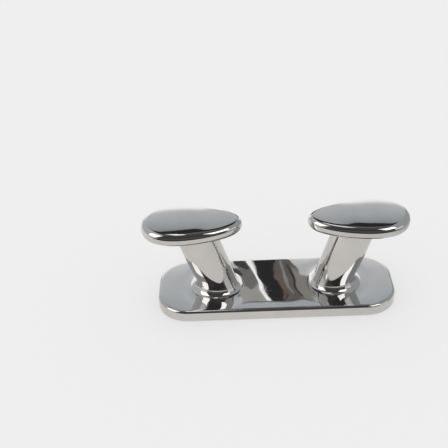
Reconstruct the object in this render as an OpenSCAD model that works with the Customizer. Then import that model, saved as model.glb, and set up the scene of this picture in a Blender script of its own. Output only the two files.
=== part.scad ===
// Twin-horn deck cleat: two leaning tube posts, each with an egg-shaped horn on top,
// set through a flat base plate with rounded corners and welded above and below.
// Origin: centre of the base underside. +X along the cleat, +Z up. Millimetres.

/* [Base plate] */
// Length of the base plate
base_l = 200; // [190:1:215]
// Width of the base plate
base_w = 73; // [68:1:80]
// Thickness of the base plate
base_t = 10; // [9:0.5:14]
// Radius of the plate's corners, seen from above
corner_r = 26.5; // [20:0.5:32]
// Rounding of the plate's top edge
edge_r = 2.6; // [1:0.1:4]
// Chamfer round the plate's underside
under_chamfer = 0.6; // [0.3:0.1:1]

/* [Posts] */
// Distance from the centre to a post's axis at the underside
post_x = 45; // [42:1:48]
// Outside diameter of a post tube
post_d = 33; // [30:0.5:35]
// Wall of a post tube
post_wall = 3.2; // [2.5:0.1:4]
// Lean of a post away from upright, outwards
lean = 18; // [14:1:20]

/* [Horns] */
// Height of the flat underside of a horn
horn_z = 65.8; // [60:0.1:75]
// Thickness of a horn at its rim
horn_t = 11.3; // [10.5:0.1:14]
// Extra height of a horn at its middle
horn_crown = 1.2; // [0.5:0.1:2]
// Distance from the centre to a horn's middle
horn_x = 68.3; // [66:0.1:70]
// Half the length of a horn
horn_half_l = 41.3; // [38:0.1:44]
// Half the width of a horn where it is broadest
horn_half_w = 24.6; // [23:0.1:28]
// How much broader the outer end is than the inner end
horn_taper = 0.23; // [0.1:0.01:0.3]
// How full the outline is towards both ends
horn_fullness = 0.12; // [0:0.01:0.2]
// Rounding of a horn's top edge
horn_top_r = 4.5; // [3:0.1:5]
// Rounding of a horn's lower edge
horn_low_r = 4.8; // [3:0.1:5]

/* [Welds] */
// Radius of the hollow weld between a post and the plate
foot_r = 5.5; // [2:0.5:7]
// Radius of the small weld under a horn
neck_r = 1.6; // [1:0.1:2]
// Depth of the weld under the plate
root_depth = 2.5; // [1.5:0.1:3]

/* [Anchor plugs] */
// Height of the plug in a post's foot
plug_h = 30; // [26:1:40]
// Distance between the two threaded holes
stud_pitch = 96; // [94:1:98]
// Diameter of the threaded hole's wall, as drilled for M10
thread_d = 8.5; // [6.8:0.1:8.5]
// Depth of the threaded hole
thread_depth = 20; // [14:1:22]

/* [Hidden] */

$fn = 192;
post_r = post_d / 2;
bore_r = post_r - post_wall;
thread_r = thread_d / 2;
// play of a horn's spigot in its post, and the spigot's length
spigot_play = 0.1;
spigot_l = 8;
// widths of the root weld at the plate's underside and at its full depth
root_low_r = post_r + 4;
root_high_r = post_r + 2;
// chamfer at the mouth of a threaded hole
mouth_chamfer = 0.8;
drill_point = 118;
// how far a cutting or joining body runs past the face that it meets
past = 1;
slab = 400;
// points round a horn or a weld, and steps along each rounding
around = 56;
edge_steps = 4;
low_steps = 3;
weld_steps = 4;
// rings between a horn's rim and its middle, as parts of the rim's size
crown_rings = [0.7, 0.35];
step = 360 / around;

// ---- placing and cutting ----

// one side's pieces are drawn on the right; the left ones mirror them
module left() {
    mirror([1, 0, 0]) children();
}

// a round bar of radius r along the right post's axis, from height z0 to z1 on it
module leaning_bar(r, z0, z1) {
    translate([post_x, 0, 0])
        rotate([0, lean, 0])
            translate([0, 0, z0 / cos(lean)])
                cylinder(r = r, h = (z1 - z0) / cos(lean));
}

// everything between two heights
module level_slab(z0, z1) {
    translate([-slab / 2, -slab / 2, z0]) cube([slab, slab, z1 - z0]);
}

// where the right post's axis is at height z
function axis_x(z) = post_x + z * tan(lean);

// ---- base plate ----

// half of the plate's upright section: r is its half width, with the edges worked
module edge_section(r) {
    polygon([
        [0, 0],
        [r - under_chamfer, 0],
        [r, under_chamfer],
        [r, base_t - edge_r],
        [r - edge_r, base_t - edge_r],
        [r - edge_r, base_t],
        [0, base_t]
    ]);
    intersection() {
        translate([r - edge_r, base_t - edge_r]) circle(r = edge_r);
        translate([r - edge_r, base_t - edge_r]) square(edge_r + past);
    }
}

// a bar with that section on both sides, w wide, l long along X
module worked_bar(l, w) {
    for (side = [0, 1])
        mirror([0, side, 0])
            rotate([90, 0, 90])
                linear_extrude(height = l, center = true) edge_section(w / 2);
}

module plate_blank() {
    worked_bar(base_l - 2 * corner_r, base_w);
    rotate([0, 0, 90]) worked_bar(base_w - 2 * corner_r, base_l);
    for (x = [-1, 1], y = [-1, 1])
        translate([x * (base_l / 2 - corner_r), y * (base_w / 2 - corner_r), 0])
            rotate_extrude() edge_section(corner_r);
}

// the weld groove under the plate, round the post's end
module root_groove() {
    translate([axis_x(root_depth / 2), 0, 0])
        cylinder(r1 = root_low_r, r2 = root_high_r, h = root_depth);
}

module base_plate() {
    color("silver")
        difference() {
            plate_blank();
            for (side = [0, 1])
                mirror([side, 0, 0]) {
                    leaning_bar(post_r, -slab / 10, base_t + slab / 10);
                    root_groove();
                }
        }
}

// ---- posts ----

module post() {
    color("lightgray")
        intersection() {
            difference() {
                leaning_bar(post_r, -slab / 10, horn_z + slab / 10);
                leaning_bar(bore_r, -slab / 5, horn_z + slab / 5);
            }
            level_slab(root_depth, horn_z);
        }
}

// ---- horns ----

// half width of a horn's outline at angle a, before it is brought to size
function raw_width(a) = sin(a) * (1 + horn_taper * cos(a) + horn_fullness * pow(cos(a), 2));
function raw_slope(a) =
    cos(a) * (1 + horn_taper * cos(a) + horn_fullness * pow(cos(a), 2))
    - sin(a) * (horn_taper * sin(a) + 2 * horn_fullness * cos(a) * sin(a));
widest = max([for (a = [0 : 1 : 180]) raw_width(a)]);

// a point of the outline, and the direction straight out from it
function rim_point(a) = [horn_half_l * cos(a), horn_half_w * raw_width(a) / widest];
function rim_out(a) =
    let (n = [horn_half_w * raw_slope(a) / widest, horn_half_l * sin(a)])
    n / norm(n);

// height that the crown adds to a point p on the line to the outline's point at a
function crown_at(p, a) = horn_crown * (1 - pow(norm(p) / norm(rim_point(a)), 2));

// a ring set in from the outline, drawn in by part f, at height z, crowned or flat
function horn_ring(inset, z, f = 1, crowned = 1) = [
    for (k = [0 : around - 1])
        let (
            a = k * step,
            p = f * (rim_point(a) - inset * rim_out(a))
        )
        [p[0], p[1], z + crowned * crown_at(p, a)]
];

lower_rings = [
    for (k = [0 : low_steps])
        let (q = 90 * k / low_steps)
        horn_ring(horn_low_r * (1 - sin(q)), horn_low_r * (1 - cos(q)), crowned = 0)
];
upper_rings = [
    for (k = [0 : edge_steps])
        let (q = 90 * k / edge_steps)
        horn_ring(horn_top_r * (1 - cos(q)), horn_t - horn_top_r * (1 - sin(q)))
];
inner_rings = [for (f = crown_rings) horn_ring(horn_top_r, horn_t, f)];

// Two triangles for each gap between neighbouring points of two neighbouring rings.
// rings is how many rings there are, gaps how many of the gaps between them are skinned.
function ring_walls(rings, gaps) = [
    for (r = [0 : gaps - 1], k = [0 : around - 1])
        let (
            next = (k + 1) % around,
            low = r * around,
            high = ((r + 1) % rings) * around
        )
        each [
            [low + k, high + next, low + next],
            [low + k, high + k, high + next]
        ]
];

// a closed skin over rings, flat below and drawn to a point on top
module ringed_solid(rings, top) {
    count = len(rings);
    points = concat([for (ring = rings, p = ring) p], [top]);
    floor_face = [[for (k = [0 : around - 1]) k]];
    last = (count - 1) * around;
    cap = [for (k = [0 : around - 1]) [last + k, count * around, last + (k + 1) % around]];
    polyhedron(points, concat(floor_face, ring_walls(count, count - 1), cap));
}

// a closed hoop, whose last ring joins its first
module ringed_hoop(rings) {
    polyhedron([for (ring = rings, p = ring) p], ring_walls(len(rings), len(rings)));
}

module horn() {
    color("gainsboro") {
        translate([horn_x, 0, horn_z])
            ringed_solid(
                concat(lower_rings, upper_rings, inner_rings),
                [0, 0, horn_t + horn_crown]
            );
        // the spigot that sits in the post's open end
        leaning_bar(bore_r - spigot_play, horn_z - spigot_l, horn_z + horn_t / 2);
    }
}

// ---- welds ----

// A ball of radius r rolls round the post, touching it and a level face at height z;
// up is 1 where the ball lies on the face and -1 where it hangs under it.
// Its hollow track, at angle a round the post, goes from the face (q = 0) to the post (q = 1).
// The flats between the weld's points touch the post at their middles, so they lie on it.
wall_r = post_r / cos(step / 2);
function out_from_axis(a) = [cos(a) * cos(lean), sin(a), -cos(a) * sin(lean)];
function on_post(a, reach, height) =
    let (along = (height + reach * cos(a) * sin(lean)) / cos(lean))
    [post_x + along * sin(lean), 0, along * cos(lean)] + reach * out_from_axis(a);
function track_point(a, q, r, z, up) =
    let (
        to_face = [0, 0, -up],
        to_post = -out_from_axis(a),
        turn = acos(to_face * to_post)
    )
    on_post(a, wall_r + r, z + up * r)
        + r * (sin((1 - q) * turn) * to_face + sin(q * turn) * to_post) / sin(turn);

module rolled_weld(r, z, up) {
    angles = [for (k = [0 : around - 1]) up * k * step];
    track = [
        for (i = [0 : weld_steps])
            [for (a = angles) track_point(a, i / weld_steps, r, z, up)]
    ];
    corner = [for (a = angles) on_post(a, wall_r, z)];
    color("darkgray") ringed_hoop(concat(track, [corner]));
}

module foot_weld() {
    rolled_weld(foot_r, base_t, 1);
}

module neck_weld() {
    rolled_weld(neck_r, horn_z, -1);
}

module root_weld() {
    color("darkgray")
        difference() {
            root_groove();
            leaning_bar(bore_r, -slab / 10, slab / 10);
        }
}

// ---- anchor plugs ----

module threaded_hole() {
    tip = thread_r / tan(drill_point / 2);
    translate([stud_pitch / 2, 0, 0]) {
        translate([0, 0, -past]) cylinder(r = thread_r, h = thread_depth + past);
        translate([0, 0, thread_depth]) cylinder(r1 = thread_r, r2 = 0, h = tip);
        translate([0, 0, -past])
            cylinder(r1 = thread_r + mouth_chamfer + past, r2 = thread_r, h = mouth_chamfer + past);
    }
}

module anchor_plug() {
    color("darkgray")
        difference() {
            intersection() {
                leaning_bar(bore_r, -slab / 10, plug_h + slab / 10);
                level_slab(0, plug_h);
            }
            threaded_hole();
        }
}

base_plate();
left() post();  // post_left
post();  // post_right
left() horn();  // horn_left
horn();  // horn_right
left() foot_weld();  // foot_weld_left
foot_weld();  // foot_weld_right
left() neck_weld();  // neck_weld_left
neck_weld();  // neck_weld_right
left() root_weld();  // root_weld_left
root_weld();  // root_weld_right
left() anchor_plug();  // anchor_plug_left
anchor_plug();  // anchor_plug_right
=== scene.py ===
# %% [markdown]
# # A mirror-polished deck cleat with two horns
# The real cleat is a welded stainless fitting: a round-cornered plate, two leaning tubes, and an
# egg-shaped horn on each tube. It is ground and buffed until the welds can't be seen, so nearly
# all of its look is what it mirrors. The lesson is therefore about two things: surfaces whose
# slope changes smoothly, and a studio that gives those surfaces something to mirror.

# %% Load the frame
import math

import bmesh
import bpy
import numpy as np
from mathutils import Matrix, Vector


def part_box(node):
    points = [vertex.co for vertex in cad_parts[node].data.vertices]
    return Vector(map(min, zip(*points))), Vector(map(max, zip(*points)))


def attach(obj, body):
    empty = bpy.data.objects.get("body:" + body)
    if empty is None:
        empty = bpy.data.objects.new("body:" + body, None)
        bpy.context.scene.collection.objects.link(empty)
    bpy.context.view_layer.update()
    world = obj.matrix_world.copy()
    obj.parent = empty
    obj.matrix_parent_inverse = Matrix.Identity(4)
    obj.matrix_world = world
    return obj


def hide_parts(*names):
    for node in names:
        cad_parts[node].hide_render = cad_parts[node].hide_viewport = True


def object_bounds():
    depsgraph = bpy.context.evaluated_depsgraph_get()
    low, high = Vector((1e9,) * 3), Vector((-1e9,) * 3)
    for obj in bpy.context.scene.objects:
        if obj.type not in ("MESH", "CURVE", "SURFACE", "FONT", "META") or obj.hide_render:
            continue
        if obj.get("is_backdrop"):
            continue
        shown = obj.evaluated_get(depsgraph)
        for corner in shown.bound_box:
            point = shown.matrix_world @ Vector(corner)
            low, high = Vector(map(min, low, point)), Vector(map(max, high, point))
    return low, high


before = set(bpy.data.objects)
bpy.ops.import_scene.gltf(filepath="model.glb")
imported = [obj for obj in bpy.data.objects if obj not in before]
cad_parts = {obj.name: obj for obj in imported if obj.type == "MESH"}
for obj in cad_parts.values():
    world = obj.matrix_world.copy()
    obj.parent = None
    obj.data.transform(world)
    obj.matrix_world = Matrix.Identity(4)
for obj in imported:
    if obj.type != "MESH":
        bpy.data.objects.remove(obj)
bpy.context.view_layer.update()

# %% [markdown]
# ## Sizes
# Every size is read from the CAD pieces' boxes or worked out from them, so the polished skins
# land exactly where the solids are. Only small things that a box can't tell, such as the radius
# of a rounded edge, are named here.

# %% Sizes of the plate, the posts and the horns
MM = 0.001
_, plate_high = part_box("base_plate")
post_low, post_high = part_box("post_right")
horn_low, horn_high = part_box("horn_right")
foot_low, foot_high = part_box("foot_weld_right")
root_low, root_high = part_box("root_weld_right")

PLATE_HALF_L = plate_high.x
PLATE_HALF_W = plate_high.y
PLATE_T = plate_high.z
CORNER_R = 26.5 * MM
EDGE_R = 2.6 * MM
UNDER_CHAMFER = 0.6 * MM

LEAN = math.radians(18)
POST_R = (post_high.y - post_low.y) / 2
POST_WALL = 3.2 * MM
POST_FOOT_Z = post_low.z
POST_MID_X = (post_low.x + post_high.x) / 2
POST_MID_Z = (post_low.z + post_high.z) / 2

HORN_Z = post_high.z
HORN_X = (horn_low.x + horn_high.x) / 2
HORN_HALF_L = (horn_high.x - horn_low.x) / 2
HORN_HALF_W = horn_high.y
HORN_CROWN = 1.4 * MM
HORN_RIM_T = horn_high.z - HORN_Z - HORN_CROWN
HORN_TAPER = 0.23
HORN_FULLNESS = 0.12
HORN_TOP_R = 4.5 * MM
HORN_LOW_R = 4.8 * MM
SPIGOT_PLAY = 0.1 * MM

FOOT_R = foot_high.y - POST_R
FOOT_X = (foot_low.x + foot_high.x) / 2
NECK_R = 1.6 * MM
ROOT_X = (root_low.x + root_high.x) / 2
ROOT_R = (root_high.x - root_low.x) / 2
ROOT_SLANT = 2 * MM
print("posts lean", round(math.degrees(LEAN)), "degrees; horns", round(2000 * HORN_HALF_L, 1), "mm long")

# %% [markdown]
# ## Hand polish
# A buffing wheel never leaves a true plane. It leaves soft hollows a few centimetres across and
# hundredths of a millimetre deep, and a mirror shows every one of them. They are deepest where
# the hand had least room, between the posts and round their feet, and where the stone ran up
# the tube and left a slight waist above the weld. A bump in the material could fake them, but
# then the shape itself would be flat. So one field of hollows is made for the whole cleat,
# from sine waves in seeded directions, and every skin is pressed inwards by it. Because
# neighbouring skins read the same field, they still meet.

# %% Random waves
rng = np.random.RandomState(41)


def waves(count, shortest, longest):
    """Random plane waves: a direction and pace, a phase and a share of the height for each."""
    length = rng.uniform(shortest, longest, count)
    way = rng.normal(size=(count, 3))
    way /= np.linalg.norm(way, axis=1)[:, None]
    phase = rng.uniform(0, 2 * math.pi, count)
    return way * (2 * math.pi / length)[:, None], phase, length / length.sum()


BROAD = waves(9, 38 * MM, 90 * MM)
FINE = waves(12, 14 * MM, 26 * MM)
GROUND = waves(8, 17 * MM, 40 * MM)
GROUND_FINE = waves(8, 9 * MM, 18 * MM)
print("waves drawn:", sum(len(kind[2]) for kind in (BROAD, FINE, GROUND, GROUND_FINE)))

# %% How deep the hollows are, and how far they reach
BROAD_DEPTH = 0.06 * MM
FINE_DEPTH = 0.006 * MM
GROUND_DEPTH = 0.36 * MM
GROUND_FINE_DEPTH = 0.025 * MM
GROUND_REACH = 27 * MM
GROUND_REACH_ACROSS = 0.9 * GROUND_REACH
ABOVE_PLATE = 6 * MM
FOOT_DEPTH = 0.16 * MM
FOOT_RING_R = (foot_high.x - foot_low.x) / 2 + 3.5 * MM
FOOT_RING_WIDTH = 5 * MM
WAIST_DEPTH = 0.5 * MM
WAIST_Z = 19 * MM
WAIST_HEIGHT = 9 * MM
WAIST_OUTER_EXTRA = 0.6
print("deepest grinding, mm:", round((GROUND_DEPTH + GROUND_FINE_DEPTH) / MM, 3))


# %% The field of hollows
def ripple(points, kind):
    """A smooth value from 0 to about 1 at each point."""
    pace, phase, share = kind
    return 0.5 + 0.5 * (np.sin(points @ pace.T + phase) @ share)


def bell(distance, width):
    return np.exp(-(distance / width) ** 2)


def hollow(points):
    """How far the polished skin lies under its ideal shape, at each point."""
    x, y, z = points[..., 0], points[..., 1], points[..., 2]
    low_down = bell(np.maximum(z - PLATE_T, 0), ABOVE_PLATE)
    between_posts = bell(x, GROUND_REACH) * bell(y, GROUND_REACH_ACROSS)
    from_foot = np.hypot(np.abs(x) - FOOT_X, y)
    round_foot = bell(from_foot - FOOT_RING_R, FOOT_RING_WIDTH) * low_down
    depth = BROAD_DEPTH * ripple(points, BROAD) + FINE_DEPTH * ripple(points, FINE)
    ground = GROUND_DEPTH * ripple(points, GROUND) + GROUND_FINE_DEPTH * ripple(points, GROUND_FINE)
    depth += ground * between_posts * low_down
    above_weld = np.clip((z - PLATE_T) / ABOVE_PLATE, 0, 1) ** 2
    outer_side = np.clip((np.abs(x) - FOOT_X) / POST_R, -1, 1)
    waist = bell(z - WAIST_Z, WAIST_HEIGHT) * above_weld * (1 + WAIST_OUTER_EXTRA * outer_side)
    return depth + FOOT_DEPTH * round_foot + WAIST_DEPTH * waist


sample = np.array([[0, 0, PLATE_T], [FOOT_X + FOOT_RING_R, 0, PLATE_T], [HORN_X, 0, HORN_Z]])
print("hollow at the plate's middle, beside a foot and on a horn, um:", np.round(hollow(sample) * 1e6))

# %% [markdown]
# ## Skins from rings
# Every polished piece is a stack of rings: closed lines of the same number of points, one above
# the other. That gives even quads that follow the shape, which mirrors need; a remeshed or
# triangulated skin would show its faces as dents. Each ring point comes with the direction
# straight out of the skin, so that the hollows can be pressed in along it.

# %% Build and press a skin
def faces_between(rings, around, gaps):
    """Quads between neighbouring rings; the last ring joins the first when gaps equals rings."""
    faces = []
    for r in range(gaps):
        low, high = r * around, ((r + 1) % rings) * around
        for k in range(around):
            nxt = (k + 1) % around
            faces.append((low + k, low + nxt, high + nxt, high + k))
    return faces


def skin(name, rings, outs, joined, side=1):
    """A closed skin over rings (an array: ring, point, xyz). side -1 mirrors it to the left."""
    points = np.array(rings) - np.array(outs) * hollow(np.array(rings) * [side, 1, 1])[..., None]
    count, around = points.shape[:2]
    points = points.reshape(-1, 3) * [side, 1, 1]
    faces = faces_between(count, around, count if joined else count - 1)
    if side < 0:
        faces = [face[::-1] for face in faces]
    mesh = bpy.data.meshes.new(name)
    mesh.from_pydata(points.tolist(), [], faces)
    return add_object(name, mesh)


def add_object(name, data):
    piece = bpy.data.objects.new(name, data)
    bpy.context.scene.collection.objects.link(piece)
    return piece


print("faces between two rings of 12 points:", len(faces_between(2, 12, 1)))


# %% Close, shade and cut a skin
SHARP = math.radians(40)
SEAM_REACH = 0.002 * MM
CUT_REACH = 0.004 * MM


def weld_seam(piece, reach=SEAM_REACH):
    """Joins the points that lie on each other, where a skin closes along a line."""
    bm = bmesh.new()
    bm.from_mesh(piece.data)
    bmesh.ops.remove_doubles(bm, verts=bm.verts, dist=reach)
    bmesh.ops.dissolve_degenerate(bm, edges=bm.edges, dist=reach)
    bm.to_mesh(piece.data)
    bm.free()


def shade(piece):
    """Smooth shading, with the real edges kept crisp."""
    piece.data.shade_smooth()
    piece.data.set_sharp_from_angle(angle=SHARP)


def carve(piece, cutter, operation):
    """Cuts the cutter out of the piece, or joins it on, and drops the cutter."""
    tool = piece.modifiers.new("carve", "BOOLEAN")
    tool.operation = operation
    tool.solver = "EXACT"
    tool.object = cutter
    bpy.context.view_layer.update()
    cut = piece.evaluated_get(bpy.context.evaluated_depsgraph_get())
    result = bpy.data.meshes.new_from_object(cut)
    piece.modifiers.remove(tool)
    old = piece.data
    piece.data = result
    bpy.data.meshes.remove(old)
    bpy.data.objects.remove(cutter)
    weld_seam(piece, CUT_REACH)


print("edges sharper than", round(math.degrees(SHARP)), "degrees stay crisp")

# %% [markdown]
# ## Points on a leaning post
# The plate's holes, the tubes, the welds and the horns' spigots all share one leaning axis. Each
# could be made upright and turned afterwards, but its ends are sawn level, and a turn would tilt
# them. So all of them use one formula instead: the point at a given angle round the axis, at a
# given reach from it and a given height above the deck.

# %% The leaning axis
def out_from_axis(a):
    return np.array([math.cos(a) * math.cos(LEAN), math.sin(a), -math.cos(a) * math.sin(LEAN)])


def on_post(a, reach, height):
    along = (height + reach * math.cos(a) * math.sin(LEAN)) / math.cos(LEAN)
    axis_foot_x = POST_MID_X - POST_MID_Z * math.tan(LEAN)
    axis = np.array([axis_foot_x + along * math.sin(LEAN), 0, along * math.cos(LEAN)])
    return axis + reach * out_from_axis(a)


def turn(count):
    return [2 * math.pi * k / count for k in range(count)]


print("the axis meets the deck at x =", round(on_post(0, 0, 0)[0] / MM, 1), "mm and the horn at",
      round(on_post(0, 0, HORN_Z)[0] / MM, 1), "mm")

# %% Tools for carving
TOOL_AROUND = 144
GROOVE_PAST = 1 * MM


def leaning_bar(name, reach, low, high, side):
    """A plain round bar on the post's axis, cut level at both ends: a tool for carve()."""
    levels = ((0, low), (reach, low), (reach, high), (0, high))
    rings = [[on_post(a, r, z) for a in turn(TOOL_AROUND)] for r, z in levels]
    bar = skin(name, rings, np.zeros_like(rings), False, side)
    weld_seam(bar)
    return bar


def groove_tool(side):
    """The weld groove under the plate: a short cone, widest at the underside."""
    top_r = ROOT_R - ROOT_SLANT
    slope = ROOT_SLANT / root_high.z
    past_r = ROOT_R + slope * GROOVE_PAST
    levels = ((0, -GROOVE_PAST), (past_r, -GROOVE_PAST), (top_r, root_high.z), (0, root_high.z))
    rings = [[(ROOT_X + r * math.cos(a), r * math.sin(a), z) for a in turn(TOOL_AROUND)]
             for r, z in levels]
    tool = skin("groove", rings, np.zeros_like(rings), False, side)
    weld_seam(tool)
    return tool


print("weld groove, mm wide at the deck:", round(2 * ROOT_R / MM, 1))

# %% [markdown]
# ## The base plate
# The plate is 10 mm bar with its corners cut round and its top edge rolled over. A box with a
# bevel would do for a dull plate, but its top would be one big face that can't be hollowed. This
# skin runs from the middle of the underside, out round the edge and back to the middle of the
# top. Rings that shrank to a point would pinch the mirror there, so they shrink to a line
# instead, most of which the posts cover. The holes and the weld grooves are cut out of it last.

# %% Outline of the plate
CORNER_STEPS = 25
SIDE_STEP = 1.5 * MM


def plate_outline():
    """Points round the plate and the directions straight out from them, seen from above."""
    flat_x, flat_y = PLATE_HALF_L - CORNER_R, PLATE_HALF_W - CORNER_R
    points, outs = [], []
    corners = ((1, 1, 0), (-1, 1, 90), (-1, -1, 180), (1, -1, 270))
    for i, (sx, sy, start) in enumerate(corners):
        for k in range(CORNER_STEPS + 1):
            a = math.radians(start + 90 * k / CORNER_STEPS)
            out = np.array([math.cos(a), math.sin(a)])
            points.append(np.array([sx * flat_x, sy * flat_y]) + CORNER_R * out)
            outs.append(out)
        here, out = points[-1], outs[-1]
        nx, ny, _ = corners[(i + 1) % 4]
        there = here + np.array([(nx - sx) * flat_x, (ny - sy) * flat_y])
        steps = round(np.linalg.norm(there - here) / SIDE_STEP)
        for k in range(1, steps):
            points.append(here + (there - here) * k / steps)
            outs.append(out)
    return np.array(points), np.array(outs)


print("points round the plate:", len(plate_outline()[0]))


# %% Rings of the plate
PLATE_SPINE = 0.55


def lay_ring(outline, outs, inset, z, out_part, up_part, size=1.0, spine=PLATE_SPINE):
    """One ring: the outline set in and shrunk to the spine, at height z, with its out directions."""
    flat = outline - outs * inset
    flat = flat * [spine + (1 - spine) * size, size]
    ring = np.column_stack([flat, np.full(len(flat), z)])
    out = np.column_stack([outs * out_part, np.full(len(flat), up_part)])
    return ring, out


def stack(layers):
    rings, outs = zip(*layers)
    return np.array(rings), np.array(outs)


def quarter(start, end, count):
    """Angles in radians, from start to end in degrees."""
    return np.radians(np.linspace(start, end, count))


print("the top closes along a line, mm:", round(2 * PLATE_SPINE * (PLATE_HALF_L - EDGE_R) / MM))


# %% The plate's skin
UNDER_RINGS, SIDE_RINGS, EDGE_RINGS, TOP_RINGS = 9, 5, 13, 31
HOLE_LOW, HOLE_HIGH = -20 * MM, 30 * MM


def make_plate():
    outline, outs = plate_outline()
    layers = [lay_ring(outline, outs, UNDER_CHAMFER, 0, 0, 0, size)
              for size in np.linspace(0, 1, UNDER_RINGS)]
    for z in np.linspace(UNDER_CHAMFER, PLATE_T - EDGE_R, SIDE_RINGS):
        layers.append(lay_ring(outline, outs, 0, z, 1, 0))
    for a in quarter(0, 90, EDGE_RINGS)[1:]:
        inset, z = EDGE_R * (1 - math.cos(a)), PLATE_T - EDGE_R * (1 - math.sin(a))
        layers.append(lay_ring(outline, outs, inset, z, math.cos(a), math.sin(a)))
    for size in np.linspace(1, 0, TOP_RINGS)[1:]:
        layers.append(lay_ring(outline, outs, EDGE_R, PLATE_T, 0, 1, size))
    plate = skin("plate", *stack(layers), False)
    weld_seam(plate)
    for side in (1, -1):
        carve(plate, leaning_bar("hole", POST_R, HOLE_LOW, HOLE_HIGH, side), "DIFFERENCE")
        carve(plate, groove_tool(side), "DIFFERENCE")
    return plate


plate = make_plate()
print("plate faces:", len(plate.data.polygons))

# %% [markdown]
# ## The posts
# Each post is a length of tube, sawn level at both ends. A plain cylinder has only two rings,
# and a hollow pressed into it would not show between them, so the tube is lofted from many. It
# is skinned outside and inside, so the piece is a tube and not a bar. The outside is
# pressed by the hollows, the inside is left as the mill drew it.

# %% Tubes
POST_AROUND = 128
OUTSIDE_RINGS, INSIDE_RINGS = 41, 6


def make_post(side):
    angles = turn(POST_AROUND)
    outs, drawn = [out_from_axis(a) for a in angles], np.zeros((POST_AROUND, 3))
    outside, inside = POST_R, POST_R - POST_WALL
    layers = [([on_post(a, outside, z) for a in angles], outs)
              for z in np.linspace(POST_FOOT_Z, HORN_Z, OUTSIDE_RINGS)]
    layers += [([on_post(a, inside, z) for a in angles], drawn)
               for z in np.linspace(HORN_Z, POST_FOOT_Z, INSIDE_RINGS)]
    return skin("post", *stack(layers), True, side)


posts = {side: make_post(side) for side in (1, -1)}
print("post faces:", len(posts[1].data.polygons))

# %% [markdown]
# ## The welds
# After grinding, a weld between two pieces is the track of a round stone that rolled in the
# corner: a hollow fillet that touches both of them without a step. A bevel can't make it here,
# because the weld is a piece of its own, and the corner is wide on one side of the leaning tube
# and narrow on the other. Rolling a ball round the corner gets both right, and the same ball
# gives the wide fillet at the foot and the small one under the horn.

# %% Rolled fillets
WELD_AROUND = 160
WELD_STEPS = 16


def make_weld(name, r, z, up, side):
    """A fillet of radius r round the post at height z; up is 1 on the plate, -1 under a horn."""
    to_face = np.array([0, 0, -up])
    layers = []
    for q in np.linspace(0, 1, WELD_STEPS + 1):
        ring, outs = [], []
        for a in (up * a for a in turn(WELD_AROUND)):
            to_post = -out_from_axis(a)
            whole = math.acos(to_face @ to_post)
            down = math.sin((1 - q) * whole) * to_face + math.sin(q * whole) * to_post
            down /= math.sin(whole)
            ring.append(on_post(a, POST_R + r, z + up * r) + r * down)
            outs.append(-down)
        layers.append((ring, outs))
    corner = [on_post(up * a, POST_R, z) for a in turn(WELD_AROUND)]
    layers.append((corner, np.zeros((WELD_AROUND, 3))))
    return skin(name, *stack(layers), True, side)


foot_welds = {side: make_weld("foot_weld", FOOT_R, PLATE_T, 1, side) for side in (1, -1)}
neck_welds = {side: make_weld("neck_weld", NECK_R, HORN_Z, -1, side) for side in (1, -1)}
print("fillets, mm:", round(FOOT_R / MM, 2), "at the foot and", NECK_R / MM, "at the neck")

# %% [markdown]
# ## The horns
# A horn is egg-shaped from above, broad at its outer end, where the rope pulls. Its underside is
# flat, both edges are rolled over, and the top swells by a little more than a millimetre. A
# squashed, subdivided ball is the quick way to such a shape, but it has no flat underside and
# no true edge radius. Rings laid to an egg outline give both, and the swell is added to the top
# ones. It falls faster near the rim, which is what turns the rim's mirror towards the horizon,
# and it is lower over the narrow inner end.

# %% Outline of a horn
HORN_AROUND = 176
EGG_STEPS = 721
AHEAD = 1e-4


def egg(a):
    width = np.sin(a) * (1 + HORN_TAPER * np.cos(a) + HORN_FULLNESS * np.cos(a) ** 2)
    return np.column_stack([np.cos(a), width])


def horn_outline():
    a = np.array(turn(HORN_AROUND))
    widest = egg(np.linspace(0, math.pi, EGG_STEPS))[:, 1].max()
    points = egg(a) * [HORN_HALF_L, HORN_HALF_W / widest]
    ahead = egg(a + AHEAD) * [HORN_HALF_L, HORN_HALF_W / widest]
    along = ahead - points
    outs = np.column_stack([along[:, 1], -along[:, 0]])
    return points, outs / np.linalg.norm(outs, axis=1)[:, None]


print("points round a horn:", len(horn_outline()[0]))


# %% Crown of a horn
CROWN_POWER = 3
INNER_SHARE = 0.25
INNER_X, OUTER_X = -24 * MM, -1 * MM


def crown(points):
    """Height of the swell at each point of the horn's top."""
    rim, _ = horn_outline()
    bearing = np.arctan2(rim[:, 1], rim[:, 0])
    order = np.argsort(bearing)
    to_rim = np.hypot(*rim[order].T)
    here = np.arctan2(points[:, 1], points[:, 0])
    reach = np.interp(here, bearing[order], to_rim, period=2 * math.pi)
    swell = HORN_CROWN * (1 - (np.hypot(*points.T) / reach) ** CROWN_POWER)
    outward = np.clip((points[:, 0] - INNER_X) / (OUTER_X - INNER_X), 0, 1)
    return swell * (INNER_SHARE + (1 - INNER_SHARE) * outward ** 2 * (3 - 2 * outward))


def crowned(layer):
    ring, outs = layer
    ring[:, 2] += crown(ring[:, :2])
    return ring, outs


middle_rise, rim_rise = crown(np.array([[0.01 * MM, 0], [HORN_HALF_L - HORN_TOP_R, 0]]))
print("crown, mm: middle", round(middle_rise / MM, 2), "and near the outer rim", round(rim_rise / MM, 2))


# %% The horn's skin
HORN_SPINE = 0.5
LOWER_FACE_RINGS, LOWER_EDGE_RINGS, UPPER_EDGE_RINGS, UPPER_FACE_RINGS = 16, 13, 17, 25


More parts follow.
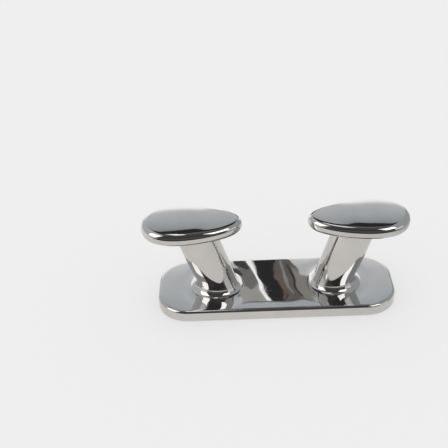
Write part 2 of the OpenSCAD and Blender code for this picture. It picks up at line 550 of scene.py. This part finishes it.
def make_horn(side):
    outline, outs = horn_outline()

    def ring(*args):
        return lay_ring(outline, outs, *args, spine=HORN_SPINE)

    layers = [ring(HORN_LOW_R, 0, 0, -1, size) for size in np.linspace(0, 1, LOWER_FACE_RINGS)]
    for a in quarter(-90, 0, LOWER_EDGE_RINGS)[1:]:
        inset, z = HORN_LOW_R * (1 - math.cos(a)), HORN_LOW_R * (1 + math.sin(a))
        layers.append(ring(inset, z, math.cos(a), math.sin(a)))
    for a in quarter(0, 90, UPPER_EDGE_RINGS):
        inset, z = HORN_TOP_R * (1 - math.cos(a)), HORN_RIM_T - HORN_TOP_R * (1 - math.sin(a))
        layers.append(crowned(ring(inset, z, math.cos(a), math.sin(a))))
    for size in np.linspace(1, 0, UPPER_FACE_RINGS)[1:]:
        layers.append(crowned(ring(HORN_TOP_R, HORN_RIM_T, 0, 1, size)))
    rings, ring_outs = stack(layers)
    horn = skin("horn", rings + [HORN_X, 0, HORN_Z], ring_outs, False, side)
    weld_seam(horn)
    spigot_r = POST_R - POST_WALL - SPIGOT_PLAY
    carve(horn, leaning_bar("spigot", spigot_r, horn_low.z, HORN_Z + HORN_LOW_R, side), "UNION")
    return horn


horns = {side: make_horn(side) for side in (1, -1)}
print("horn faces:", len(horns[1].data.polygons))

# %% [markdown]
# ## Names, bodies and what each piece stands for
# Each skin replaces one CAD solid and rides on the one rigid body. The root welds and the anchor
# plugs have nothing to add in shape, so the CAD solids stay and get a finish of their own.

# %% Hang every piece on the frame
SIDE_NAME = {1: "right", -1: "left"}
KINDS = (
    ("post", posts, "polished_tube"), ("horn", horns, "polished_horn"),
    ("foot_weld", foot_welds, "polished_weld"), ("neck_weld", neck_welds, "polished_weld"),
)


def stand_for(piece, node):
    piece.name = f"polished_{node}"
    shade(piece)
    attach(piece, "root")
    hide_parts(node)


stand_for(plate, "base_plate")
for kind, pair, slot in KINDS:
    for side, piece in pair.items():
        stand_for(piece, f"{kind}_{SIDE_NAME[side]}")
print("pieces made:", 1 + sum(len(pair) for _, pair, _ in KINDS))

# %% [markdown]
# ## Building blocks for the finishes
# A finish is a small net of nodes. A few short helpers keep the nets readable: one adds a node
# and sets its values, one turns a pattern into a value between two limits, one makes noise, one
# stretches a pattern along an axis, and one starts an empty node group.

# %% Helpers for node nets
def add(tree, kind, values=None, **settings):
    """Adds a node, sets its properties, then its sockets by name or number."""
    node = tree.nodes.new("ShaderNode" + kind)
    for name, value in settings.items():
        setattr(node, name, value)
    for socket, value in (values or {}).items():
        if isinstance(value, bpy.types.NodeSocket):
            tree.links.new(value, node.inputs[socket])
        else:
            node.inputs[socket].default_value = value
    return node


def between(tree, value, low, high, out_low, out_high):
    """Maps a pattern from low..high to out_low..out_high and clips it there."""
    span = {"Value": value, "From Min": low, "From Max": high, "To Min": out_low, "To Max": out_high}
    return add(tree, "MapRange", span).outputs["Result"]


def noise(tree, vector, scale, detail=2.0, roughness=0.5):
    values = {"Vector": vector, "Scale": scale, "Detail": detail, "Roughness": roughness}
    return add(tree, "TexNoise", values).outputs["Fac"]


def stretched(tree, vector, scale, turned=(0, 0, 0)):
    """The vector scaled by (x, y, z) after a turn, so that noise on it is drawn out into streaks."""
    return add(tree, "Mapping", {"Vector": vector, "Rotation": turned, "Scale": scale}).outputs["Vector"]


def math_node(tree, operation, first, second=0.0):
    return add(tree, "Math", {0: first, 1: second}, operation=operation).outputs["Value"]


def mixed(tree, share, first, second):
    """A colour between the first and the second, by a share from 0 to 1."""
    colours = {"Factor": share, 6: first, 7: second}
    return add(tree, "Mix", colours, data_type="RGBA").outputs[2]


print("materials before the finishes:", len(bpy.data.materials))


# %% An empty node group
def new_group(name, inputs, outputs):
    """An empty node group; inputs are (name, socket kind, value) and outputs (name, socket kind)."""
    group = bpy.data.node_groups.new(name, "ShaderNodeTree")
    for label, kind, value in inputs:
        socket = group.interface.new_socket(label, in_out="INPUT", socket_type="NodeSocket" + kind)
        socket.default_value = value
    for label, kind in outputs:
        group.interface.new_socket(label, in_out="OUTPUT", socket_type="NodeSocket" + kind)
    start, end = group.nodes.new("NodeGroupInput"), group.nodes.new("NodeGroupOutput")
    return group, start.outputs, end.inputs


print("node groups so far:", len(bpy.data.node_groups))

# %% [markdown]
# ## Buffing
# A buffed surface is bright but not blank. The wheel leaves hairlines along its stroke, every
# few of them a little deeper, and the pressure of the hand leaves patches that are a shade
# duller. Anisotropic gloss could stand for the stroke, but it smears the whole mirror; fine
# stretched noise keeps it sharp between the lines. The group gives three things: hairlines,
# patches, and a height for the bump. The stroke is set by the vector that comes in, so each
# piece is buffed along its own length.

# %% Node group: buffing
FINENESS = 900.0
PATCH_SCALE = 45.0
HAIR_LIMITS = (0.52, 0.70)
PATCH_LIMITS = (0.35, 0.68)
buffing, given, result = new_group(
    "buffing",
    [("Stroke", "Vector", (0, 0, 0)), ("Fineness", "Float", FINENESS),
     ("Patch Scale", "Float", PATCH_SCALE)],
    [("Hairlines", "Float"), ("Patches", "Float"), ("Height", "Float")],
)
hairs = noise(buffing, given["Stroke"], given["Fineness"], 3.0, 0.65)
lines = between(buffing, hairs, *HAIR_LIMITS, 0.0, 1.0)
where = add(buffing, "TexCoord").outputs["Object"]
patches = noise(buffing, where, given["Patch Scale"], 3.0, 0.55)
patchy = between(buffing, patches, *PATCH_LIMITS, 0.0, 1.0)
pressure = between(buffing, patches, 0.3, 0.7, 0.35, 1.0)
buffing.links.new(math_node(buffing, "MULTIPLY", lines, pressure), result["Hairlines"])
buffing.links.new(patchy, result["Patches"])
buffing.links.new(math_node(buffing, "ADD", lines, patchy), result["Height"])
print("buffing:", len(buffing.nodes), "nodes")

# %% [markdown]
# ## Handling marks
# A cleat is handled from the first day. Fine stray scratches cross the stroke at all angles and
# a few finger smudges dull the shine. The scratches are the edges of stretched Voronoi cells on
# two turned vectors, each broken up by a mask so that no line runs on for ever.

# %% Node group: handling marks
SCRATCH_TURNS = ((0.3, 0.2, 0.9), (0.1, 0.5, -0.6))
SCRATCH_STRETCH = (0.12, 1.0, 0.6)
SCRATCH_SCALE = 90.0
SCRATCH_WIDTH = 0.006
SMUDGE_SCALE = 28.0
BREAK_LIMITS = (0.52, 0.60)
SMUDGE_LIMITS = (0.55, 0.75)
handling, given, result = new_group(
    "handling_marks",
    [("Scratch Scale", "Float", SCRATCH_SCALE), ("Scratch Width", "Float", SCRATCH_WIDTH),
     ("Smudge Scale", "Float", SMUDGE_SCALE)],
    [("Scratches", "Float"), ("Smudges", "Float")],
)
where = add(handling, "TexCoord").outputs["Object"]
scratches = 0.0
for turned in SCRATCH_TURNS:
    vector = stretched(handling, where, SCRATCH_STRETCH, turned)
    cells = add(handling, "TexVoronoi", {"Vector": vector, "Scale": given["Scratch Scale"]},
                feature="DISTANCE_TO_EDGE")
    thin = math_node(handling, "LESS_THAN", cells.outputs["Distance"], given["Scratch Width"])
    broken = between(handling, noise(handling, vector, 60.0), *BREAK_LIMITS, 0.0, 1.0)
    short = math_node(handling, "MULTIPLY", thin, broken)
    scratches = math_node(handling, "MAXIMUM", scratches, short)
blots = noise(handling, where, given["Smudge Scale"], 4.0, 0.6)
smudges = between(handling, blots, *SMUDGE_LIMITS, 0.0, 1.0)
handling.links.new(scratches, result["Scratches"])
handling.links.new(smudges, result["Smudges"])
print("node groups:", [group.name for group in bpy.data.node_groups])

# %% [markdown]
# ## Polished stainless steel
# Stainless steel mirrors about two thirds of the light, a touch more of the red than of the
# blue. Its roughness is very low and goes up only in hairlines, scratches, patches and smudges.
# All four polished finishes share one recipe; they differ in the direction and the stretch of
# the stroke, and the welds are polished a little further than the rest.

# %% The recipe for mirror steel
STEEL = (0.665, 0.655, 0.638, 1)
STEEL_DULL = (0.615, 0.606, 0.592, 1)
BUMP_DEPTH = 0.0012 * MM


def place_group(tree, group, values):
    node = add(tree, "Group", node_tree=group)
    for name, value in values.items():
        node.inputs[name].default_value = value
    return node


def polished(name, stroke, turned, shine, haze):
    """Mirror steel: shine is the roughness of its brightest parts, haze what marks add to it."""
    material = bpy.data.materials.new(name)
    material.use_nodes = True
    tree = material.node_tree
    shader = tree.nodes["Principled BSDF"]
    where = add(tree, "TexCoord").outputs["Object"]
    buffed = place_group(tree, buffing, {"Fineness": FINENESS, "Patch Scale": PATCH_SCALE})
    tree.links.new(stretched(tree, where, stroke, turned), buffed.inputs["Stroke"])
    handled = place_group(tree, handling, {
        "Scratch Scale": SCRATCH_SCALE, "Scratch Width": SCRATCH_WIDTH, "Smudge Scale": SMUDGE_SCALE})
    marks = math_node(tree, "MAXIMUM", buffed.outputs["Patches"], handled.outputs["Smudges"])
    tree.links.new(mixed(tree, marks, STEEL, STEEL_DULL), shader.inputs["Base Color"])
    lined = math_node(tree, "MAXIMUM", buffed.outputs["Hairlines"], handled.outputs["Scratches"])
    dull = math_node(tree, "ADD", lined, marks)
    tree.links.new(between(tree, dull, 0.0, 2.0, shine, shine + haze), shader.inputs["Roughness"])
    bump = add(tree, "Bump", {"Height": buffed.outputs["Height"], "Distance": BUMP_DEPTH})
    bump.inputs["Strength"].default_value = 1.0
    scratched = add(tree, "Bump", {"Height": handled.outputs["Scratches"], "Distance": BUMP_DEPTH,
                                   "Normal": bump.outputs["Normal"]}, invert=True)
    tree.links.new(scratched.outputs["Normal"], shader.inputs["Normal"])
    shader.inputs["Metallic"].default_value = 1.0
    return material


print("the steel mirrors", STEEL[0], "of the red and", STEEL[2], "of the blue")

# %% The polished finishes
SHINE, WELD_SHINE, HAZE = 0.03, 0.025, 0.05
FINISHES = {
    "plate": polished("buffed_plate_steel", (0.08, 1.0, 1.0), (0, 0, 0.05), SHINE, HAZE),
    "post": polished("buffed_tube_steel", (1.0, 1.0, 0.07), (0, LEAN, 0), SHINE, HAZE),
    "horn": polished("buffed_horn_steel", (0.10, 1.0, 1.0), (0, 0, -0.12), SHINE, HAZE),
    "weld": polished("blended_weld_steel", (1.0, 1.0, 0.5), (0.4, 0.2, 0), WELD_SHINE, HAZE),
}
plate.data.materials.clear()
plate.data.materials.append(FINISHES["plate"])
for kind, pair, _ in KINDS:
    for piece in pair.values():
        piece.data.materials.clear()
        piece.data.materials.append(FINISHES[kind.split("_")[-1]])
print("polished finishes:", len(FINISHES))

# %% [markdown]
# ## Beneath the plate
# Nobody polishes what sits on the deck. The root weld is only ground flush, so it shows the
# ripples of the bead and a straw tint from the heat. The anchor plug is a turned bar, so its
# face carries fine rings round its middle. Both patterns run round an upright axis, so they are
# drawn from the bearing and the distance from it, and need no unwrapping.

# %% Bare metal, and places round an upright axis
def plain_metal(name, colour):
    material = bpy.data.materials.new(name)
    material.use_nodes = True
    shader = material.node_tree.nodes["Principled BSDF"]
    shader.inputs["Metallic"].default_value = 1.0
    shader.inputs["Base Color"].default_value = colour
    return material, material.node_tree, shader


def from_axis(tree, x):
    """The place, its distance from an upright axis at x, and its bearing round that axis."""
    where = add(tree, "TexCoord").outputs["Object"]
    moved = add(tree, "VectorMath", {0: where, 1: (x, 0, 0)}, operation="SUBTRACT").outputs["Vector"]
    parts = add(tree, "SeparateXYZ", {"Vector": moved}).outputs
    squares = math_node(tree, "ADD", math_node(tree, "MULTIPLY", parts["X"], parts["X"]),
                        math_node(tree, "MULTIPLY", parts["Y"], parts["Y"]))
    bearing = math_node(tree, "ARCTAN2", parts["Y"], parts["X"])
    return where, math_node(tree, "SQRT", squares), bearing


print("materials before the underside:", len(bpy.data.materials))

# %% Ground root welds
BEADS_ROUND = 60.0
BEAD_HEIGHT = 0.05 * MM
GROUND_GREY, HEAT_STRAW = (0.52, 0.50, 0.47, 1), (0.50, 0.41, 0.28, 1)
GROUND_ROUGH = (0.28, 0.5)


def ground_weld(name, x):
    material, tree, shader = plain_metal(name, STEEL)
    where, _, bearing = from_axis(tree, x)
    beads = math_node(tree, "SINE", math_node(tree, "MULTIPLY", bearing, BEADS_ROUND))
    wander = noise(tree, where, 260.0, 3.0, 0.6)
    ripples = math_node(tree, "ADD", between(tree, beads, -1.0, 1.0, 0.0, 0.5), wander)
    heat = between(tree, wander, 0.35, 0.7, 0.0, 1.0)
    tree.links.new(mixed(tree, heat, GROUND_GREY, HEAT_STRAW), shader.inputs["Base Color"])
    tree.links.new(between(tree, ripples, 0.3, 1.2, *GROUND_ROUGH), shader.inputs["Roughness"])
    bump = add(tree, "Bump", {"Height": ripples, "Distance": BEAD_HEIGHT, "Strength": 0.7})
    tree.links.new(bump.outputs["Normal"], shader.inputs["Normal"])
    return material


print("bead ripples round a root weld:", round(BEADS_ROUND))

# %% Turned anchor plugs
TOOL_FEED = 0.35 * MM
LINE_HEIGHT = 0.01 * MM
BAR_PALE, BAR_DARK = (0.58, 0.57, 0.55, 1), (0.50, 0.49, 0.48, 1)
TURNED_ROUGH = (0.22, 0.38)


def turned_bar(name, x):
    material, tree, shader = plain_metal(name, STEEL)
    where, reach, _ = from_axis(tree, x)
    feed = math_node(tree, "SINE", math_node(tree, "MULTIPLY", reach, 2 * math.pi / TOOL_FEED))
    uneven = noise(tree, where, 320.0, 3.0, 0.6)
    rings = math_node(tree, "ADD", between(tree, feed, -1.0, 1.0, 0.0, 1.0), uneven)
    worn = between(tree, uneven, 0.3, 0.7, 0.0, 1.0)
    tree.links.new(mixed(tree, worn, BAR_PALE, BAR_DARK), shader.inputs["Base Color"])
    tree.links.new(between(tree, rings, 0.3, 1.7, *TURNED_ROUGH), shader.inputs["Roughness"])
    bump = add(tree, "Bump", {"Height": rings, "Distance": LINE_HEIGHT, "Strength": 0.6})
    tree.links.new(bump.outputs["Normal"], shader.inputs["Normal"])
    return material


print("turned lines in a millimetre:", round(MM / TOOL_FEED, 1))

# %% Give the CAD solids their finish
for name in SIDE_NAME.values():
    for node, finish in (("root_weld", ground_weld), ("anchor_plug", turned_bar)):
        low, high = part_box(f"{node}_{name}")
        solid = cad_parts[f"{node}_{name}"]
        for slot in solid.material_slots:
            slot.material = finish(f"{node}_{name}_steel", (low.x + high.x) / 2)
        print(solid.name, "has", len(solid.material_slots), "slot")

# %% [markdown]
# ## The camera
# The camera stands in front and a little to the left, about 38 degrees up, and looks down on the
# cleat. A long lens keeps the plate's sides nearly parallel. The standard view transform is used,
# because the other ones grey the white floor.

# %% Camera
camera_data = bpy.data.cameras.new("camera")
camera_data.sensor_width = 36
camera_data.lens = 64.29
camera = add_object("camera", camera_data)
camera.location = (-0.0301, -0.5486, 0.4266)
camera.rotation_euler = [math.radians(angle) for angle in (57.06, 2.34, -0.31)]
bpy.context.scene.camera = camera
bpy.context.scene.view_settings.view_transform = "Standard"
print("camera is", round(camera.location.length, 2), "m from the middle of the plate")

# %% [markdown]
# ## Light sources that only steel sees
# A mirror has no look of its own, so the studio is built for it: cards that glow evenly, seen
# only in reflections. Lamps would light the floor too, and change the shade under the cleat each
# time one was moved. Cards throw no light on the floor and no shadow, and the camera never sees
# them. Each one is named after the thing that would stand there in a real studio.

# %% Glowing surfaces and cards
def grey(value):
    return (value, value, value)


def glow(name, colour):
    """A surface that glows in one colour; returns the material, its tree and the light."""
    material = bpy.data.materials.new(name)
    material.use_nodes = True
    tree = material.node_tree
    tree.nodes.clear()
    light = add(tree, "Emission", {"Color": (*colour, 1)})
    add(tree, "OutputMaterial", {"Surface": light.outputs["Emission"]})
    return material, tree, light


def card(name, corners, colour):
    mesh = bpy.data.meshes.new(name)
    mesh.from_pydata([tuple(corner) for corner in corners], [], [tuple(range(len(corners)))])
    mesh.materials.append(glow(name, colour)[0])
    piece = add_object(name, mesh)
    piece.visible_camera = False
    piece.visible_diffuse = False
    piece.visible_shadow = False
    piece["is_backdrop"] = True
    return piece


def level_card(name, outline, z, colour):
    return card(name, [(x, y, z) for x, y in outline], colour)


print("materials before the studio:", len(bpy.data.materials))


# %% Cards that face the cleat
AIM_DISTANCE = 1.3


def aimed_card(name, bearing, rise, width, height, colour):
    """A card that faces the cleat from a bearing (0 behind, 90 right) and a rise, in degrees."""
    b, r = math.radians(bearing), math.radians(rise)
    way = np.array([math.sin(b) * math.cos(r), math.cos(b) * math.cos(r), math.sin(r)])
    across = np.array([math.cos(b), -math.sin(b), 0]) * width / 2
    up = np.cross(across, way) / (width / 2) * height / 2
    middle = way * AIM_DISTANCE
    low_edge, high_edge = middle - up, middle + up
    corners = [low_edge - across, low_edge + across, high_edge + across, high_edge - across]
    return card(name, corners, colour)


print("a card facing the cleat stands", AIM_DISTANCE, "m away")

# %% [markdown]
# ## The room round the cleat
# A dark gap between two big diffusers hangs overhead and gives the horns their dark front edge;
# a short strip light slants across its back half as one bright line. The front of the room is
# dark, and a dark sheet on the floor, seen only by the steel, paints the floor's reflection dark
# from a hand's width before the cleat. Two soft boxes stand left and right, with a low light under each.

# %% Overhead
CEILING = 1.5
OVERHEAD_LEFT, OVERHEAD_RIGHT = -0.66, 0.72
ROOM_FRONT_Y = -1.6
OVERHEAD = (
    ("back", 0.45, 1.62, 0.03), ("middle", -0.40, 0.45, 0.14), ("front", ROOM_FRONT_Y, -0.40, 0.07),
)
STRIP = ((-0.42, 0.42), (-0.22, 0.42), (-0.014, -0.30), (-0.214, -0.30))
STRIP_DROP = 0.01
left, right = OVERHEAD_LEFT, OVERHEAD_RIGHT
for name, front, back, tone in OVERHEAD:
    outline = ((left, front), (right, front), (right, back), (left, back))
    level_card(f"overhead_{name}", outline, CEILING, grey(tone))
level_card("overhead_strip", STRIP, CEILING - STRIP_DROP, grey(1.5))
print("overhead cards:", len(OVERHEAD), "dark and a strip light")

# %% Front of the room
ROOM = (0.05, 0.048, 0.047)
ROOM_HALF_W = 1.5
ROOM_BREAK_Z = 0.8


def front_card(name, low, high, colour):
    corners = [(-ROOM_HALF_W, low), (ROOM_HALF_W, low), (ROOM_HALF_W, high), (-ROOM_HALF_W, high)]
    return card(name, [(x, ROOM_FRONT_Y, z) for x, z in corners], colour)


front_card("room_front_high", ROOM_BREAK_Z, CEILING, ROOM)
front_card("room_front_low", 0, ROOM_BREAK_Z, grey(0.09))
# Painted reflection: a dark sheet just above the floor, seen only by the steel, darkens the floor it
# mirrors.
PAINTED_DARK_FLOOR = ((-3, -3), (3, -3), (3, -0.40), (0.3, -0.200), (-0.3, -0.140), (-3, 0.0))
level_card("table_end", PAINTED_DARK_FLOOR, 0.4 * MM, ROOM)
print("the front of the room stands", -ROOM_FRONT_Y, "m before the cleat")

# %% Soft boxes and low lights
SIDE_LIGHTS = (
    ("soft_box_left", -110, 36, 0.68, 0.78, 2.2), ("soft_box_right", 135, 43, 0.60, 0.55, 2.2),
    ("low_light_left", -111, 8, 0.62, 0.42, 0.90), ("low_light_right", 114, 13, 0.70, 0.50, 0.85),
)
for name, bearing, rise, width, height, tone in SIDE_LIGHTS:
    aimed_card(name, bearing, rise, width, height, grey(tone))
print("lights at the sides:", len(SIDE_LIGHTS))

# %% [markdown]
# ## A wall that pales towards the floor
# The wall behind the cleat is what the plate and the tops of the horns mirror. It is white at
# the foot, where the light falls on it, and pale grey higher up, so the steel is shaded from
# the back edge to the front edge without any shadow on it.

# %% Ramps over a height, a bearing or a place
def ramp(tree, value, start, end, stops):
    """A colour ramp whose stops are given in the value's own units: (value, colour) pairs."""
    node = add(tree, "ValToRGB", {"Fac": between(tree, value, start, end, 0.0, 1.0)})
    marks = node.color_ramp.elements
    places = [((at - start) / (end - start), (*colour, 1)) for at, colour in stops]
    marks[0].position, marks[0].color = places[0]
    marks[1].position, marks[1].color = places[-1]
    for at, colour in places[1:-1]:
        marks.new(at).color = colour
    return node.outputs["Color"]


glowing = [m for m in bpy.data.materials if m.use_nodes and "Emission" in m.node_tree.nodes]
print("cards of one even colour:", len(glowing))

# %% The wall's glow
WALL_Y = 0.36
WALL_TOP = 0.415
WALL_REACH = 0.30
WALL_BY_HEIGHT = (
    (0.0, grey(1.26)), (0.212, grey(1.26)), (0.226, grey(1.15)), (0.237, (0.98, 0.98, 1.0)),
    (0.252, (0.75, 0.76, 0.79)), (0.268, (0.62, 0.64, 0.67)), (0.285, (0.60, 0.62, 0.65)),
    (0.302, (0.56, 0.59, 0.62)), (0.320, (0.51, 0.54, 0.57)), (0.338, (0.47, 0.49, 0.52)),
    (0.379, (0.41, 0.43, 0.45)), (0.40, (0.36, 0.39, 0.41)), (0.415, (0.31, 0.34, 0.36)),
)
WALL_FADE = ((-0.30, grey(0)), (-0.22, grey(1)), (0.22, grey(1)), (0.30, grey(0)))
wall_corners = ((-WALL_REACH, 0), (WALL_REACH, 0), (WALL_REACH, WALL_TOP), (-WALL_REACH, WALL_TOP))
wall = card("tent_back", [(x, WALL_Y, z) for x, z in wall_corners], grey(1))
material, tree, light = glow("tent_back_glow", grey(1))
place = add(tree, "SeparateXYZ", {"Vector": add(tree, "NewGeometry").outputs["Position"]}).outputs
tree.links.new(ramp(tree, place["Z"], 0.0, WALL_TOP, WALL_BY_HEIGHT), light.inputs["Color"])
fade = ramp(tree, place["X"], -WALL_REACH, WALL_REACH, WALL_FADE)
clear = add(tree, "BsdfTransparent").outputs["BSDF"]
both = add(tree, "MixShader", {"Fac": fade, 1: clear, 2: light.outputs["Emission"]}).outputs["Shader"]
end = next(node for node in tree.nodes if node.type == "OUTPUT_MATERIAL")
tree.links.new(both, end.inputs["Surface"])
wall.data.materials[0] = material
print("the wall is", 2 * WALL_REACH, "m wide and", WALL_TOP, "m high")

# %% [markdown]
# ## Flags behind the cleat
# Small dark and bright flags hang low behind the cleat, and the ground hollow between the posts
# mirrors them as a bent, dark band with a bright slit. Each flag is cut by following the line of
# sight: from the camera to a spot on the plate, and on from there to where the flag hangs.

# %% Flags
FLAG_Y = 0.14


def hung(name, spots, colour, nearer=0.0):
    """A flag that the camera finds over these spots of the plate (mm)."""
    eye = np.array(camera.location)
    corners = []
    for x, y in spots:
        spot = np.array([x * MM, y * MM, PLATE_T])
        sight = (spot - eye) * [1, 1, -1]
        corners.append(spot + sight * (FLAG_Y - nearer - spot[1]) / sight[1])
    return card(name, corners, colour)


FLAGS = (
    ("flag_dark", 0.000, (0.030, 0.030, 0.032), (
        (-20, 42), (4, 42), (0, 24), (-1, 10), (5, -4),
        (9, -14), (6, -22), (-3, -22), (-8, -12), (-14, 10))),
    ("flag_brown", 0.000, (0.15, 0.14, 0.13), (
        (4, 42), (11, 42), (17, 22), (24, 8), (30, -4), (35, -16),
        (30, -22), (6, -22), (9, -14), (5, -4), (-1, 10), (0, 24))),
    ("flag_pale_right", 0.001, (0.30, 0.29, 0.27), (
        (14, 20), (24, 8), (33, -8), (36, -16), (30, -22), (20, -22), (20, -8))),
    ("flag_left_top", 0.000, (0.07, 0.07, 0.075), (
        (-36, 42), (-26, 42), (-20, 20), (-26, 14), (-36, 20))),
    ("flag_left_middle", 0.000, grey(0.20), (
        (-36, 20), (-26, 14), (-20, 20), (-18, 12), (-14, -2), (-26, -4))),
    ("flag_left_foot", 0.000, (0.42, 0.42, 0.40), (
        (-26, -4), (-14, -2), (-12, -8), (-8, -21), (-30, -21), (-32, -8))),
    ("slit_bright", 0.002, grey(1.30), (
        (-27, 42), (-22, 42), (-19, 27), (-16, 16), (-11, 0), (-7, -12),
        (-4, -21), (-8, -21), (-10, -12), (-14, 0), (-19, 14), (-23, 27))),
    ("stripe_red_brown", 0.002, (0.20, 0.13, 0.105), (
        (-1, 16), (1, 16), (8, -10), (7, -18), (5, -18), (6, -10))),
    ("stripe_pale", 0.002, (0.33, 0.33, 0.31), (
        (5, 30), (7, 30), (8, 8), (14, -12), (12, -12), (6, 8))),
    ("stripe_dark", 0.002, grey(0.045), (
        (10, 24), (12, 22), (18, 0), (24, -18), (21, -18), (15, 0))),
    ("line_front", 0.003, grey(0.04), ((-30, -22), (36, -22), (36, -24), (-30, -24))),
)
for name, nearer, colour, spots in FLAGS:
    hung(name, spots, colour, nearer)
print("flags hung:", len(FLAGS))

# %% [markdown]
# ## The floor
# The floor is plain and pale. It glows a little by itself, which lifts the shade under the cleat
# the way a lit table does. What the steel mirrors of it is a painted reflection: a glow a shade
# darker, white to the left and grey to the right, that stands in for uneven light on the table.

# %% The floor and its pale matt top
FLOOR_HALF = 4
FLOOR_TONES = (0.325, 0.335)
FLOOR_GLOW = 0.535
floor_mesh = bpy.data.meshes.new("floor")
floor_corners = [(x * FLOOR_HALF, y * FLOOR_HALF, 0) for x, y in ((-1, -1), (1, -1), (1, 1), (-1, 1))]
floor_mesh.from_pydata(floor_corners, [], [(0, 1, 2, 3)])
floor = add_object("floor", floor_mesh)
material = bpy.data.materials.new("pale_table")
material.use_nodes = True
tree = material.node_tree
shader = tree.nodes["Principled BSDF"]
where = add(tree, "TexCoord").outputs["Object"]
grain = noise(tree, where, 120.0, 4.0, 0.6)
low_tone, high_tone = ((*grey(value), 1) for value in FLOOR_TONES)
tree.links.new(mixed(tree, grain, low_tone, high_tone), shader.inputs["Base Color"])
pores = add(tree, "Bump", {"Height": grain, "Distance": 0.01 * MM})
tree.links.new(pores.outputs["Normal"], shader.inputs["Normal"])
shader.inputs["Roughness"].default_value = 1.0
shader.inputs["Specular IOR Level"].default_value = 0.0
shader.inputs["Emission Color"].default_value = (1, 1, 1, 1)
shader.inputs["Emission Strength"].default_value = FLOOR_GLOW
floor.data.materials.append(material)
floor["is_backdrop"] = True
print("the floor is", 2 * FLOOR_HALF, "m across")

# %% Painted reflection of the floor, seen only by steel
# Painted reflection: glossy rays see the floor glow in these tones, white to the left, grey to the
# right.
FLOOR_MIRRORED = (
    (-0.30, (0.95, 0.95, 0.94)), (-0.16, (0.80, 0.78, 0.75)),
    (0.16, (0.74, 0.73, 0.71)), (0.28, grey(0.45)),
)
across = add(tree, "SeparateXYZ", {"Vector": where}).outputs["X"]
painted_floor_reflection = ramp(tree, across, -0.3, 0.3, FLOOR_MIRRORED)
mirrored = add(tree, "Emission", {"Color": painted_floor_reflection}).outputs["Emission"]
steel_sees = add(tree, "LightPath").outputs["Is Glossy Ray"]
both = add(tree, "MixShader", {"Fac": steel_sees, 1: shader.outputs["BSDF"], 2: mirrored})
tree.links.new(both.outputs["Shader"], tree.nodes["Material Output"].inputs["Surface"])
print("tones that steel sees in the floor:", len(FLOOR_MIRRORED))

# %% [markdown]
# ## The world
# Everything beyond the cards is the world. For the floor it is an even white sky, which is the
# soft light of the whole scene. For the steel it is a tent: pale on the left, greyer on the
# right, and dark in front. For the camera it has the floor's own tone, so that low views show no
# hard horizon.

# %% World
TENT = (
    (-180, grey(0.06)), (-136, grey(0.07)), (-128, (0.50, 0.51, 0.52)), (-22, (0.58, 0.59, 0.60)),
    (22, (0.41, 0.43, 0.44)), (126, (0.38, 0.40, 0.42)), (134, grey(0.07)), (180, grey(0.06)),
)
BACKDROP = 0.86
world = bpy.data.worlds.new("studio")
bpy.context.scene.world = world
world.use_nodes = True
tree = world.node_tree
tree.nodes.clear()
way = add(tree, "SeparateXYZ", {"Vector": add(tree, "TexCoord").outputs["Generated"]}).outputs
bearing = math_node(tree, "MULTIPLY", math_node(tree, "ARCTAN2", way["X"], way["Y"]), 180 / math.pi)
tent = add(tree, "Background", {"Color": ramp(tree, bearing, -180, 180, TENT)}).outputs["Background"]
sky = add(tree, "Background", {"Color": (1, 1, 1, 1)}).outputs["Background"]
backdrop = add(tree, "Background", {"Color": (*grey(BACKDROP), 1)}).outputs["Background"]
seen_by = add(tree, "LightPath").outputs
direct = add(tree, "MixShader", {"Fac": seen_by["Is Camera Ray"], 1: sky, 2: backdrop}).outputs["Shader"]
both = add(tree, "MixShader", {"Fac": seen_by["Is Glossy Ray"], 1: direct, 2: tent}).outputs["Shader"]
add(tree, "OutputWorld", {"Surface": both})
print("tones of the tent:", len(TENT))

# %% Size of the finished model
low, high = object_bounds()
print("visual box, mm:", [round(1000 * v, 1) for v in (*low, *high)])
